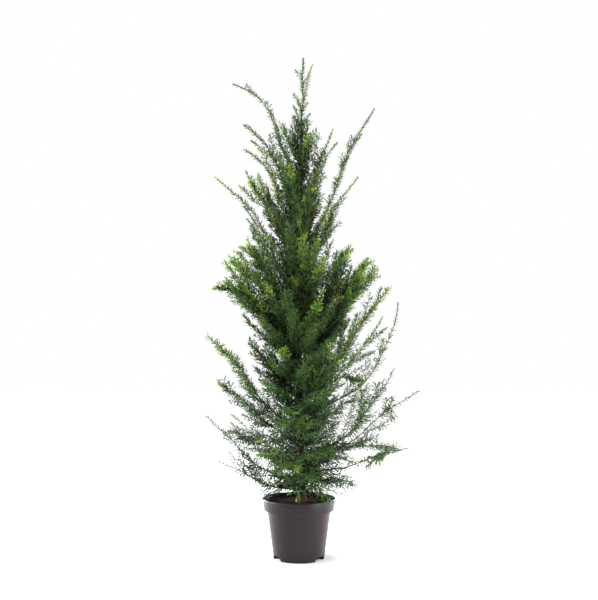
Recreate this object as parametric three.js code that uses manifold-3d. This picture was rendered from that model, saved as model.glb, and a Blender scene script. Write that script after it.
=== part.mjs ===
// An English yew about 1.4 m tall, a loose cone on one stem, in a round plastic nursery pot.
// Millimetres, +Z up. The origin is the centre of the pot's flat underside and -Y is the front.
// A bearing is measured round the trunk: 0 is +X (right), 90 is +Y (back), 180 is -X (left).
import * as THREE from 'three';
import { mergeVertices } from 'three/addons/utils/BufferGeometryUtils.js';
import Module from 'manifold-3d';

const wasm = await Module();
wasm.setup();

// ---------------------------------------------------------------- driving dimensions

const clearance = 0.3; // the least gap between two pieces
const seatGap = 0.4; // between a limb and the trunk or bough that it grows on

const pot = {
  rimRadius: 115,
  rimHeight: 189,
  bandFootRadius: 110,
  bandFootHeight: 152,
  bodyTopRadius: 98.5,
  footRadius: 80,
  wall: 2.4,
  roundSteps: 28,
};

const drain = { bearings: [-150, -30, 90], width: 46, height: 12, innerRadius: 74, cornerRadius: 5 };

const soil = { level: 171, edgeDrop: 2 };

const trunk = {
  foot: soil.level + clearance,
  top: 1330,
  footRadius: 10.5,
  topRadius: 3,
  flare: 6,
  flareHeight: 16,
  footOffset: 12,
  bow: 13,
  weave: 6,
  weaveLength: 1329,
  taper: 0.9,
  sides: 8,
  rings: 16,
  ringCrowding: 1.6,
};

const leader = { tip: [14, 0, 1562], middle: 8, radius: 2.7, shoots: 6, leave: 22, shootShare: 0.36 };

// Outer limbs, each drawn by hand: name, height on the trunk, bearing, reach from the trunk,
// height of the tip, slope where it leaves the trunk, slope at the tip, bare share of its length.
const outerLimbs = [
  ['arch_left', 1120, 172, 214, 1491, 77, 14, 0],
  ['spire_left', 1010, 200, 174, 1350, 75, 38, 0],
  ['crook_left', 940, 150, 196, 1290, 73, 24, 0],
  ['fresh_left', 880, 214, 196, 1203, 62, 58, 0],
  ['lash_left', 830, 178, 264, 1196, 64, 38, 0.25],
  ['plume_left', 760, 140, 208, 1052, 62, 34, 0],
  ['fan_left_high', 650, 228, 236, 976, 62, 42, 0],
  ['fan_left_mid', 610, 152, 252, 936, 60, 26, 0],
  ['fan_left_low', 590, 190, 262, 852, 52, 14, 0],
  ['tuft_left', 500, 214, 190, 680, 42, 40, 0],
  ['hook_left', 380, 172, 296, 692, 38, 36, 0.2],
  ['rake_left', 345, 196, 268, 562, 28, 44, 0.2],
  ['twin_left', 285, 146, 280, 408, 22, 32, 0],
  ['wand_left', 228, 186, 300, 449, 10, 46, 0.24],
  ['skirt_left', 212, 208, 286, 322, 8, 20, 0],
  ['rim_left', 240, 205, 148, 206, 14, -36, 0],
  ['rim_front', 226, 262, 120, 202, 12, -30, 0],
  ['whip_right', 915, 4, 238, 1411, 63, 52, 0.25],
  ['spire_right', 1060, 330, 118, 1336, 70, 66, 0],
  ['plume_right', 1000, 46, 124, 1268, 72, 62, 0],
  ['lash_right', 850, 338, 196, 1187, 62, 46, 0],
  ['fan_right_high', 650, 44, 220, 975, 58, 52, 0],
  ['fan_right_mid', 600, 336, 240, 930, 56, 44, 0],
  ['fan_right_low', 560, 12, 254, 895, 52, 34, 0],
  ['crest_right', 500, 344, 284, 848, 40, 54, 0.2],
  ['fork_right', 480, 34, 328, 752, 38, 46, 0.2],
  ['sickle_right', 440, 6, 312, 801, 22, 80, 0.2],
  ['sprig_right', 300, 24, 330, 588, 20, 60, 0.2],
  ['rake_right', 285, 352, 366, 529, 22, 30, 0.2],
  ['skirt_right', 262, 330, 362, 368, 6, 22, 0.24],
  ['rim_right', 226, 10, 178, 222, 24, -26, 0],
];

// Limbs that face front and back in turn, spaced evenly from the lowest to the highest.
const facingLimbs = {
  names: ['front', 'back'],
  count: 8,
  lowest: 258,
  highest: 960,
  bearingShifts: [-20, 26, 10, 16],
  reach: [258, 156],
  rise: [70, 320],
  leave: [16, 68],
  finish: [28, 58],
  shootSpacing: 112,
};

// Short steep limbs that clothe the trunk, turned on by the golden angle from one to the next.
const columnLimbs = {
  names: ['column'],
  count: 6,
  lowest: 205,
  highest: 720,
  firstBearing: 300,
  turn: 137.5,
  reach: [112, 126],
  rise: [95, 250],
  leave: [34, 60],
  finish: [30, 60],
  shootSpacing: 44,
};

// A limb's curve is pulled from both ends, by these shares of the distance between them.
const limbPull = { foot: 0.4, tip: 0.35 };

const limbRadius = { tip: 1.4, base: 1.9, perLength: 0.0034, taper: 0.8 };

const boughShape = { sides: 5, rings: 4 };

const stemBareRings = 3; // on a mass's stem, below its needles

// Side shoots. Their length is a share of their stem's, more at its foot than at its end. One
// that finds no room is tried again, rolled another way and shorter each time.
const shoot = {
  spacing: 112,
  fewest: 2,
  most: 4,
  first: 0.08,
  last: 0.74,
  placeJitter: 0.6,
  leave: 46,
  roll: 34,
  share: 0.42,
  shareRange: [1.15, 0.65],
  spread: [0.85, 1.15],
  shortest: 62,
  longest: 118,
  lift: 0.35,
  bareShare: 0.16,
  bareRings: 1,
  baseRadius: 1.0,
  tries: 5,
  shrinkPerTry: 0.09,
};

const twig = { sides: 3, tipRadius: 0.7 };

// Needles stand in rings along a twig and shorten towards its tip. Where they find no room at
// full size, the smaller sizes are tried.
const needle = { length: 32, lean: 48, pitch: 21, fewestRings: 3, tipShare: 0.6, sizes: [1, 0.75, 0.5] };

const colours = {
  pot: 0x423c40,
  soil: 0x1a120c,
  bark: 0x5f4231,
  foliage: 0x4e5e3f,
};

// ---------------------------------------------------------------- small helpers

const up = new THREE.Vector3(0, 0, 1);
const radians = THREE.MathUtils.degToRad;
const blend = THREE.MathUtils.lerp;

// A seeded run of numbers between 0 and 1, the same on every build.
function randomRun(seed) {
  let state = (seed * 2654435761) % 4294967296;
  return () => {
    state = (state * 1664525 + 1013904223) % 4294967296;
    return state / 4294967296;
  };
}

// Bearing and slope in degrees to a unit vector.
function heading(bearing, slope) {
  const flat = Math.cos(radians(slope));
  return new THREE.Vector3(
    flat * Math.cos(radians(bearing)),
    flat * Math.sin(radians(bearing)),
    Math.sin(radians(slope)),
  );
}

function toSolid(geometry) {
  const bare = geometry.clone();
  bare.deleteAttribute('normal');
  bare.deleteAttribute('uv');
  const welded = mergeVertices(bare, 1e-4);
  const vertProperties = new Float32Array(welded.attributes.position.array);
  const triVerts = new Uint32Array(welded.index.array);
  return new wasm.Manifold(new wasm.Mesh({ numProp: 3, vertProperties, triVerts }));
}

function toGeometry(solid) {
  const mesh = solid.getMesh();
  const geometry = new THREE.BufferGeometry();
  geometry.setAttribute('position', new THREE.BufferAttribute(mesh.vertProperties, 3));
  geometry.setIndex(new THREE.BufferAttribute(mesh.triVerts, 1));
  geometry.computeVertexNormals();
  return geometry;
}

// The largest of a solid's separate bodies, so that scrap from a cut is dropped.
function largestBody(solid) {
  return solid.decompose().reduce((best, body) => (body.volume() > best.volume() ? body : best));
}

function makeMesh(name, solid, color, roughness) {
  const material = new THREE.MeshStandardMaterial({ color, roughness, metalness: 0 });
  const mesh = new THREE.Mesh(toGeometry(solid), material);
  mesh.name = name;
  return mesh;
}

// ---------------------------------------------------------------- keeping to one's own space

const standing = []; // every solid that stands so far, with its name

function stand(name, solid) {
  standing.push({ name, solid, box: solid.boundingBox() });
}

function boxesMeet(a, b) {
  return [0, 1, 2].every((axis) => (
    Math.max(a.min[axis], b.min[axis]) < Math.min(a.max[axis], b.max[axis]) + clearance
  ));
}

// The first standing solid, other than what carries it, that a solid comes too close to.
function findMeeting(solid, carrier) {
  const box = solid.boundingBox();
  return standing.find((other) => {
    const apart = other.name === carrier || !boxesMeet(box, other.box);
    return !apart && solid.minGap(other.solid, 2 * clearance) < clearance;
  });
}

// ---------------------------------------------------------------- pot and soil

function lathe(profile) {
  const points = profile.map(([radius, height]) => new THREE.Vector2(radius, height));
  return toSolid(new THREE.LatheGeometry(points, pot.roundSteps).rotateX(Math.PI / 2));
}

// One drainage notch: a round-shouldered opening through the foot of the wall.
function drainNotch(bearing) {
  const { width, height, innerRadius, cornerRadius: corner } = drain;
  const half = width / 2;
  const outline = new THREE.Shape();
  outline.moveTo(-half, -1);
  outline.lineTo(half, -1);
  outline.lineTo(half, height - corner);
  outline.quadraticCurveTo(half, height, half - corner, height);
  outline.lineTo(corner - half, height);
  outline.quadraticCurveTo(-half, height, -half, height - corner);
  const depth = pot.bodyTopRadius - innerRadius;
  const cutter = new THREE.ExtrudeGeometry(outline, { depth, bevelEnabled: false, curveSegments: 3 });
  cutter.translate(0, 0, innerRadius);
  cutter.rotateX(Math.PI / 2);
  cutter.rotateZ(radians(bearing + 90));
  return toSolid(cutter);
}

function makePot() {
  const { rimRadius, rimHeight, bandFootRadius, bandFootHeight, bodyTopRadius, footRadius, wall } = pot;
  const shell = lathe([
    [0, 0],
    [footRadius - 3, 0],
    [footRadius, 3],
    [bodyTopRadius, bandFootHeight - 3],
    [bodyTopRadius + 2, bandFootHeight - 0.8],
    [bandFootRadius - 1.6, bandFootHeight],
    [bandFootRadius, bandFootHeight + 2],
    [rimRadius - 1.2, rimHeight - 4],
    [rimRadius, rimHeight - 1.6],
    [rimRadius - 1.2, rimHeight],
    [rimRadius - wall - 0.8, rimHeight - 1],
    [bandFootRadius - wall, bandFootHeight + 3],
    [bodyTopRadius - wall, bandFootHeight - 4],
    [footRadius - wall, wall],
    [0, wall],
  ]);
  const notched = drain.bearings.reduce((rest, bearing) => rest.subtract(drainNotch(bearing)), shell);
  stand('pot', notched);
  return makeMesh('pot', notched, colours.pot, 0.5);
}

function makeSoil() {
  const { rimRadius, rimHeight, bandFootRadius, bandFootHeight, bodyTopRadius, footRadius, wall } = pot;
  const inset = wall + clearance;
  const edge = soil.level - soil.edgeDrop;
  const bandShare = (edge - bandFootHeight - 3) / (rimHeight - bandFootHeight - 4);
  const edgeRadius = blend(bandFootRadius - inset, rimRadius - inset - 0.8, bandShare);
  const plug = lathe([
    [0, wall + clearance],
    [drain.innerRadius - clearance, wall + clearance],
    [drain.innerRadius - clearance, drain.height + clearance],
    [footRadius - inset + 1, drain.height + clearance],
    [bodyTopRadius - inset, bandFootHeight - 4 + clearance],
    [bandFootRadius - inset, bandFootHeight + 3 + clearance],
    [edgeRadius, edge],
    [edgeRadius * 0.6, soil.level],
    [0, soil.level],
  ]);
  stand('soil', plug);
  return makeMesh('soil', plug, colours.soil, 1);
}

// ---------------------------------------------------------------- trunk

function trunkCentre(height) {
  const share = (height - trunk.foot) / trunk.weaveLength;
  return new THREE.Vector3(
    trunk.footOffset + 2 * share - trunk.bow * Math.sin(Math.PI * share),
    trunk.weave * Math.sin(2 * Math.PI * share),
    height,
  );
}

function trunkRadius(height) {
  const share = THREE.MathUtils.clamp((height - trunk.foot) / (trunk.top - trunk.foot), 0, 1);
  const flare = trunk.flare * Math.exp((trunk.foot - height) / trunk.flareHeight);
  return blend(trunk.footRadius, trunk.topRadius, share ** trunk.taper) + flare;
}

// The trunk's sections lie level, so its foot is a flat cut on the soil. They crowd towards the
// foot, where the flare bends most.
function trunkSolid(grow) {
  const shape = new THREE.CylinderGeometry(1, 1, 1, trunk.sides, trunk.rings).rotateX(Math.PI / 2);
  const spots = shape.attributes.position;
  for (let i = 0; i < spots.count; i += 1) {
    const share = Math.max(0, spots.getZ(i) + 0.5) ** trunk.ringCrowding;
    const height = blend(trunk.foot - grow, trunk.top + grow, share);
    const centre = trunkCentre(height);
    const radius = trunkRadius(height) + grow;
    spots.setXYZ(i, centre.x + spots.getX(i) * radius, centre.y + spots.getY(i) * radius, height);
  }
  return toSolid(shape);
}

const grownTrunk = trunkSolid(seatGap);

// ---------------------------------------------------------------- limbs and needled shoots

// A few-sided cylinder bent along a curve, with its rings at the shares of the length that
// shareAt gives, counted from the foot.
function bentCylinder(curve, { sides, rings, radiusAt, shareAt = (ring) => ring / rings }) {
  const shape = new THREE.CylinderGeometry(1, 1, 1, sides, rings);
  const spots = shape.attributes.position;
  for (let i = 0; i < spots.count; i += 1) {
    const share = shareAt(Math.round((spots.getY(i) + 0.5) * rings));
    const place = curve.getPointAt(share);
    const along = curve.getTangentAt(share);
    const side = new THREE.Vector3().crossVectors(along, up).normalize();
    const above = new THREE.Vector3().crossVectors(side, along);
    const radius = radiusAt(share);
    place.addScaledVector(side, spots.getX(i) * radius).addScaledVector(above, spots.getZ(i) * radius);
    spots.setXYZ(i, place.x, place.y, place.z);
  }
  return shape;
}

// Draws each face of a bent cylinder out to a point, as a forward-leaning needle with the whole
// face for its root. lengthAt gives a needle's length from its ring, counted from the foot.
function raiseNeedles(shape, sides, rings, lengthAt) {
  const corners = Array.from(shape.index.array);
  const spots = Array.from(shape.attributes.position.array);
  const spot = (i) => new THREE.Vector3().fromArray(spots, 3 * i);
  const faces = [];
  for (let face = 0; face < sides * rings; face += 1) {
    const [a, b, d, , c] = corners.slice(6 * face, 6 * face + 5);
    const length = lengthAt(rings - 1 - (face % rings));
    if (length > 0) {
      const along = spot(a).add(spot(d)).sub(spot(b)).sub(spot(c)).normalize();
      const out = spot(b).sub(spot(a)).cross(spot(d).sub(spot(a))).normalize();
      const tip = spot(a).add(spot(b)).add(spot(c)).add(spot(d)).divideScalar(4);
      tip.addScaledVector(out, length * Math.sin(radians(needle.lean)));
      tip.addScaledVector(along, length * Math.cos(radians(needle.lean)));
      const point = spots.push(tip.x, tip.y, tip.z) / 3 - 1;
      faces.push(a, b, point, b, c, point, c, d, point, d, a, point);
    } else {
      faces.push(...corners.slice(6 * face, 6 * face + 6));
    }
  }
  const needled = new THREE.BufferGeometry();
  needled.setAttribute('position', new THREE.Float32BufferAttribute(spots, 3));
  needled.setIndex([...faces, ...corners.slice(6 * sides * rings)]);
  return needled;
}

// The part of a limb's curve between two shares of its length.
class LimbPart extends THREE.Curve {
  constructor(whole, from, to) {
    super();
    this.whole = whole;
    this.from = from;
    this.to = to;
  }

  getPoint(share, target = new THREE.Vector3()) {
    return target.copy(this.whole.getPointAt(blend(this.from, this.to, share)));
  }
}

function limbCurve({ at, bearing, reach, top, leave, finish }) {
  const start = trunkCentre(at);
  const end = start.clone().addScaledVector(heading(bearing, 0), reach).setZ(top);
  const span = start.distanceTo(end);
  return new THREE.CubicBezierCurve3(
    start,
    start.clone().addScaledVector(heading(bearing, leave), limbPull.foot * span),
    end.clone().addScaledVector(heading(bearing, finish), -limbPull.tip * span),
    end,
  );
}

function limbRadiusAt(length) {
  const base = limbRadius.base + limbRadius.perLength * length;
  return (share) => blend(base, limbRadius.tip, share ** limbRadius.taper);
}

// A side shoot leaves its stem at an angle, to one side and rolled up or down, then lifts.
function shootCurve(stem, share, { side, roll, leave, length }) {
  const start = stem.getPointAt(share);
  const along = stem.getTangentAt(share);
  const across = new THREE.Vector3().crossVectors(along, up).normalize();
  const above = new THREE.Vector3().crossVectors(across, along);
  const out = across.multiplyScalar(side * Math.cos(radians(roll)));
  out.addScaledVector(above, Math.sin(radians(roll)));
  const first = along.multiplyScalar(Math.cos(radians(leave)));
  first.addScaledVector(out, Math.sin(radians(leave)));
  const middle = start.clone().addScaledVector(first, length / 2);
  const second = first.clone().addScaledVector(up, shoot.lift).normalize();
  const end = middle.clone().addScaledVector(second, length / 2);
  return new THREE.QuadraticBezierCurve3(start, middle, end);
}

// A twig that is bare up to bareShare of its length and needled from there to its tip.
function needledSolid(curve, { bareShare, bareRings, baseRadius, size }) {
  const needledLength = curve.getLength() * (1 - bareShare);
  const needled = Math.max(needle.fewestRings, Math.round(needledLength / needle.pitch));
  const rings = bareRings + needled;
  const shape = bentCylinder(curve, {
    sides: twig.sides,
    rings,
    shareAt: (ring) => {
      const past = ring - bareRings;
      return past < 0 ? (bareShare * ring) / bareRings : blend(bareShare, 1, past / needled);
    },
    radiusAt: (share) => blend(baseRadius, twig.tipRadius, share),
  });
  const fullLength = size * needle.length;
  return toSolid(raiseNeedles(shape, twig.sides, rings, (ring) => {
    const share = (ring - bareRings) / (needled - 1);
    return share < 0 ? 0 : fullLength * blend(1, needle.tipShare, share ** 2);
  }));
}

// ---------------------------------------------------------------- the plant

// Limbs spaced evenly up the trunk, worked out from a plan's ranges.
function evenLimbs(plan, bearingOf) {
  const each = plan.names.length;
  return Array.from({ length: plan.count }, (_, k) => {
    const share = (k + 0.5) / plan.count;
    const at = blend(plan.lowest, plan.highest, share);
    const climb = THREE.MathUtils.smoothstep(share, 0, 0.7);
    return {
      name: `${plan.names[k % each]}_${Math.floor(k / each) + 1}`,
      at,
      bearing: bearingOf(k),
      reach: blend(...plan.reach, share),
      top: at + blend(...plan.rise, climb),
      leave: blend(...plan.leave, climb),
      finish: blend(...plan.finish, share),
      bare: 0,
      shootSpacing: plan.shootSpacing,
    };
  });
}

function allLimbs() {
  const outer = outerLimbs.map(([name, at, bearing, reach, top, leave, finish, bare]) => (
    { name, at, bearing, reach, top, leave, finish, bare, shootSpacing: shoot.spacing }
  ));
  const facing = (k) => (k % 2 === 0 ? 270 : 90) + facingLimbs.bearingShifts[Math.floor(k / 2)];
  const turning = (k) => columnLimbs.firstBearing + columnLimbs.turn * k;
  return [...outer, ...evenLimbs(facingLimbs, facing), ...evenLimbs(columnLimbs, turning)];
}

// The bare stretch of a limb, from the trunk to where its mass begins.
function makeBough({ name, whole, bare, radiusAt }) {
  const bent = bentCylinder(new LimbPart(whole, 0, bare), {
    ...boughShape,
    radiusAt: (share) => radiusAt(bare * share),
  });
  const fitted = largestBody(toSolid(bent).subtract(grownTrunk));
  stand(`bough_${name}`, fitted);
  return makeMesh(`bough_${name}`, fitted, colours.bark, 0.9);
}

// What a mass grows from: its stem, the stem's radius, and how many shoots it has.
function massOnLimb({ name, whole, bare, radiusAt, shootSpacing }) {
  const length = whole.getLength();
  const from = bare > 0 ? bare + seatGap / length : 0;
  const shoots = Math.round((length * (1 - bare)) / shootSpacing);
  return {
    name,
    stem: new LimbPart(whole, from, 1),
    onTrunk: bare === 0,
    baseRadius: radiusAt(from),
    shoots: THREE.MathUtils.clamp(shoots, shoot.fewest, shoot.most),
    leave: shoot.leave,
    shootShare: shoot.share,
  };
}

function leaderMass() {
  const foot = trunkCentre(trunk.top).setZ(trunk.top + seatGap);
  const tip = new THREE.Vector3(...leader.tip);
  const middle = foot.clone().lerp(tip, 0.5).setX(leader.middle);
  return {
    name: 'leader',
    stem: new THREE.QuadraticBezierCurve3(foot, middle, tip),
    onTrunk: false,
    baseRadius: leader.radius,
    shoots: leader.shoots,
    leave: leader.leave,
    shootShare: leader.shootShare,
  };
}

// A mass's stem, needled past its last shoot. One that starts on the trunk is cut to fit it.
function stemSolid({ stem, baseRadius, onTrunk }, size) {
  const bare = { bareShare: shoot.last, bareRings: stemBareRings };
  const solid = needledSolid(stem, { ...bare, baseRadius, size });
  return onTrunk ? largestBody(solid.subtract(grownTrunk)) : solid;
}

function tryStanding(mass, name, solid) {
  const clear = findMeeting(solid, mass.name) === undefined;
  if (clear) {
    stand(name, solid);
    mass.pieces.push(solid);
  }
  return clear;
}

function growBareStem(mass) {
  const solid = stemSolid(mass, 0);
  const met = findMeeting(solid);
  if (met) {
    throw new Error(`the stem of ${mass.name} runs into ${met.name}`);
  }
  mass.pieces = [];
  stand(mass.name, solid);
}

function growStemNeedles(mass) {
  if (!needle.sizes.some((size) => tryStanding(mass, mass.name, stemSolid(mass, size)))) {
    mass.pieces.push(stemSolid(mass, 0));
  }
}

// Side shoots leave the stem left and right in turn. Each shoot has a seed of its own.
function growShoots(mass, massNumber) {
  const stemLength = mass.stem.getLength();
  for (let k = 0; k < mass.shoots; k += 1) {
    const random = randomRun(100 * massNumber + k + 1);
    const spread = () => blend(...shoot.spread, random());
    const share = blend(shoot.first, shoot.last, (k + random() * shoot.placeJitter) / mass.shoots);
    const full = stemLength * mass.shootShare * blend(...shoot.shareRange, share) * spread();
    const fullLength = THREE.MathUtils.clamp(full, shoot.shortest, shoot.longest);
    for (let tried = 0; tried < shoot.tries; tried += 1) {
      const curve = shootCurve(mass.stem, share, {
        side: k % 2 === 0 ? 1 : -1,
        roll: blend(-shoot.roll, shoot.roll, random()),
        leave: mass.leave * spread(),
        length: fullLength * (1 - shoot.shrinkPerTry * tried),
      });
      const solidOf = (size) => needledSolid(curve, { ...shoot, size });
      if (needle.sizes.some((size) => tryStanding(mass, `${mass.name}_shoot_${k}`, solidOf(size)))) {
        break;
      }
    }
  }
}

// The trunk and boughs stand first, then every bare stem, so that what grows after them keeps
// clear of them. Needles and shoots follow, as far as their neighbours leave room for them.
function makePlant() {
  const wholeTrunk = trunkSolid(0);
  stand('trunk', wholeTrunk);

  const limbs = allLimbs().map((limb) => {
    const whole = limbCurve(limb);
    return { ...limb, whole, radiusAt: limbRadiusAt(whole.getLength()) };
  });
  const boughs = limbs.filter(({ bare }) => bare > 0).map(makeBough);

  const masses = [...limbs.map(massOnLimb), leaderMass()];
  masses.forEach(growBareStem);
  masses.forEach(growStemNeedles);
  masses.forEach(growShoots);
  const foliage = masses.map(({ name, pieces }) => (
    makeMesh(`foliage_${name}`, largestBody(wasm.Manifold.union(pieces)), colours.foliage, 0.7)
  ));

  return [makeMesh('trunk', wholeTrunk, colours.bark, 0.9), ...boughs, ...foliage];
}

const yew = new THREE.Group();
yew.name = 'english_yew_in_pot';
yew.add(makePot());
yew.add(makeSoil());
yew.add(...makePlant());

export default yew;
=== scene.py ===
import math

import bpy
import numpy as np
from mathutils import Matrix, Vector, noise


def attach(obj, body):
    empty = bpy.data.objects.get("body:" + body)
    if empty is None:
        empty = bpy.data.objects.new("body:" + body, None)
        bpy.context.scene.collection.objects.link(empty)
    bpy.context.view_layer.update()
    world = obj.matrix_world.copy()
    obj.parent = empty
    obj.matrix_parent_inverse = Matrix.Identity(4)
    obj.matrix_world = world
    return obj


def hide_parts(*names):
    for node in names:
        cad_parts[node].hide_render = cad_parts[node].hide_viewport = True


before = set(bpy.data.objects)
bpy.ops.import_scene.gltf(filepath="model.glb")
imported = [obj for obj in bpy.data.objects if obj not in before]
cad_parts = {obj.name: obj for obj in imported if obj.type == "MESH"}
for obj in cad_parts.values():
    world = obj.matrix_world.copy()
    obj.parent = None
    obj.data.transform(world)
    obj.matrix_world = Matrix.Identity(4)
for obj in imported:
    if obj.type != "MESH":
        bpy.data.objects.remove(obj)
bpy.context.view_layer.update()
bpy.ops.object.select_all(action="DESELECT")


# ---- Nursery pot --------------------------------------------------------------------------
# A thin pot pressed from grey-brown polypropylene. Its wall tapers to the foot, steps out into
# a deep stiffening band and ends in a rolled lip. Three notches at the foot let water out.

pot_sides = 160
underside = (0.0545, 0.0012)
pot_base = [(0.0565, 0.0), (0.0768, 0.0), (0.0792, 0.0008), (0.0800, 0.0030)]
pot_wall = [(0.0862, 0.052), (0.0925, 0.1005), (0.0981, 0.1435), (0.0984, 0.1470)]
pot_ledge = [(0.0988, 0.1490), (0.1001, 0.1505), (0.1024, 0.1514), (0.1070, 0.1520)]
pot_ledge += [(0.1090, 0.1526), (0.1100, 0.1542), (0.1102, 0.1560)]
pot_band = [(0.1112, 0.1680), (0.1121, 0.1795), (0.1120, 0.1818)]
pot_lip = [(0.1143, 0.1826), (0.1149, 0.1840), (0.1150, 0.1862), (0.1146, 0.1878)]
pot_lip += [(0.1137, 0.1888), (0.1126, 0.1890), (0.1117, 0.1885), (0.1112, 0.1872)]
pot_inside = [(0.1093, 0.1680), (0.1078, 0.1562), (0.1058, 0.1546), (0.0990, 0.1536)]
pot_inside += [(0.0965, 0.1516), (0.0960, 0.1470), (0.0838, 0.0520), (0.0791, 0.0180), (0.0770, 0.0150)]
pot_inside += [(0.0600, 0.0148), (0.0590, 0.0138), (0.0585, 0.0030), (0.0570, 0.0024)]


def draw_wall(rings):
    """Extrudes the selected first ring through the others. A ring is a radius and a centre."""
    for (radius, centre), (next_radius, next_centre) in zip(rings, rings[1:]):
        step = np.subtract(next_centre, centre)
        bpy.ops.mesh.extrude_region_move(TRANSFORM_OT_translate={"value": step})
        scale = next_radius / radius
        bpy.ops.transform.resize(value=(scale, scale, 1), center_override=next_centre)


def rings_of(profile):
    """Rings round the Z axis, from radii and heights."""
    return [(radius, (0, 0, height)) for radius, height in profile]


def close_mesh():
    """Leaves edit mode with all faces outward, and puts the piece's place into its mesh."""
    bpy.ops.mesh.select_all(action="SELECT")
    bpy.ops.mesh.normals_make_consistent(inside=False)
    bpy.ops.object.mode_set(mode="OBJECT")
    bpy.ops.object.transform_apply(location=True, rotation=True, scale=True)


def take_up(piece):
    """Makes one piece the only one that is selected, and the active one."""
    bpy.ops.object.select_all(action="DESELECT")
    piece.select_set(True)
    bpy.context.view_layer.objects.active = piece


radius, height = underside
bpy.ops.mesh.primitive_circle_add(
    vertices=pot_sides, radius=radius, fill_type="NGON", location=(0, 0, height)
)
pot = bpy.context.object
pot.name = "nursery_pot"
bpy.ops.object.mode_set(mode="EDIT")
bpy.ops.mesh.select_all(action="SELECT")
pot_outside = pot_base + pot_wall + pot_ledge + pot_band + pot_lip
draw_wall(rings_of([underside] + pot_outside + pot_inside))
close_mesh()

notch_bearings = (-153, -33, 87)
notch_centre = (0.0795, 0, 0.0025)
notch_size = (0.039, 0.048, 0.021)
notch_round = 0.007
for bearing in notch_bearings:
    bpy.ops.object.select_all(action="DESELECT")
    bpy.ops.mesh.primitive_cube_add(size=1, location=notch_centre, scale=notch_size)
    notch = bpy.context.object
    bpy.ops.object.transform_apply(location=True, rotation=False, scale=True)
    bpy.ops.object.mode_set(mode="EDIT")
    bpy.ops.mesh.select_all(action="DESELECT")
    bpy.ops.object.mode_set(mode="OBJECT")
    for edge in notch.data.edges:
        ends = [notch.data.vertices[i].co for i in edge.vertices]
        edge.select = min(e.z for e in ends) > 0.01 and abs(ends[0].y - ends[1].y) < 1e-6
    bpy.ops.object.mode_set(mode="EDIT")
    bpy.ops.mesh.select_mode(type="EDGE")
    bpy.ops.mesh.bevel(offset=notch_round, segments=6)
    bpy.ops.object.mode_set(mode="OBJECT")
    notch.rotation_euler.z = math.radians(bearing)
    bpy.ops.object.transform_apply(location=True, rotation=True, scale=True)
    cut = pot.modifiers.new("drain notch", "BOOLEAN")
    cut.object = notch
    cut.operation = "DIFFERENCE"
    take_up(pot)
    bpy.ops.object.modifier_apply(modifier=cut.name)
    bpy.data.objects.remove(notch)
bpy.ops.object.shade_smooth_by_angle(angle=math.radians(38))


def linear(code):
    """A web colour such as '3f4a2b' as linear red, green, blue and alpha."""
    shares = [int(code[i : i + 2], 16) / 255 for i in (0, 2, 4)]
    return [s / 12.92 if s <= 0.04045 else ((s + 0.055) / 1.055) ** 2.4 for s in shares] + [1]


def new_finish(name, roughness, specular):
    """A material with its shader, its node list and a link maker."""
    finish = bpy.data.materials.new(name)
    finish.use_nodes = True
    shader = finish.node_tree.nodes["Principled BSDF"]
    shader.inputs["Roughness"].default_value = roughness
    shader.inputs["Specular IOR Level"].default_value = specular
    return finish, shader, finish.node_tree.nodes, finish.node_tree.links.new


def add_noise(nodes, link, stretch, scale, detail=4.0, roughness=0.55):
    """Noise on Object coordinates, stretched along X, Y and Z."""
    place = nodes.new("ShaderNodeTexCoord")
    mapping = nodes.new("ShaderNodeMapping")
    mapping.inputs["Scale"].default_value = stretch
    grain = nodes.new("ShaderNodeTexNoise")
    grain.inputs["Scale"].default_value = scale
    grain.inputs["Detail"].default_value = detail
    grain.inputs["Roughness"].default_value = roughness
    link(place.outputs["Object"], mapping.inputs["Vector"])
    link(mapping.outputs["Vector"], grain.inputs["Vector"])
    return grain.outputs["Fac"]


def add_ramp(nodes, link, source, stops):
    """Colours dealt along a 0 to 1 value. A stop is a place and a colour."""
    ramp = nodes.new("ShaderNodeValToRGB")
    keys = ramp.color_ramp.elements
    while len(keys) < len(stops):
        keys.new(0.5)
    for key, (place, colour) in zip(keys, stops):
        key.position = place
        key.color = colour
    link(source, ramp.inputs["Fac"])
    return ramp.outputs["Color"]


def add_bump(nodes, link, shader, height, distance):
    """Fine relief on a shader, up to a distance in metres."""
    bump = nodes.new("ShaderNodeBump")
    bump.inputs["Distance"].default_value = distance
    link(height, bump.inputs["Height"])
    link(bump.outputs["Normal"], shader.inputs["Normal"])


def grained_finish(name, roughness, specular, grain, colours, depth=0):
    """A finish whose colour, and with a depth its relief, follow one grain. The grain is what
    add_noise takes, and the colours are places along it with their web colours."""
    finish, shader, nodes, link = new_finish(name, roughness, specular)
    source = add_noise(nodes, link, *grain)
    stops = [(place, linear(code)) for place, code in colours]
    link(add_ramp(nodes, link, source, stops), shader.inputs["Base Color"])
    if depth:
        add_bump(nodes, link, shader, source, depth)
    return finish, shader, nodes, link


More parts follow.
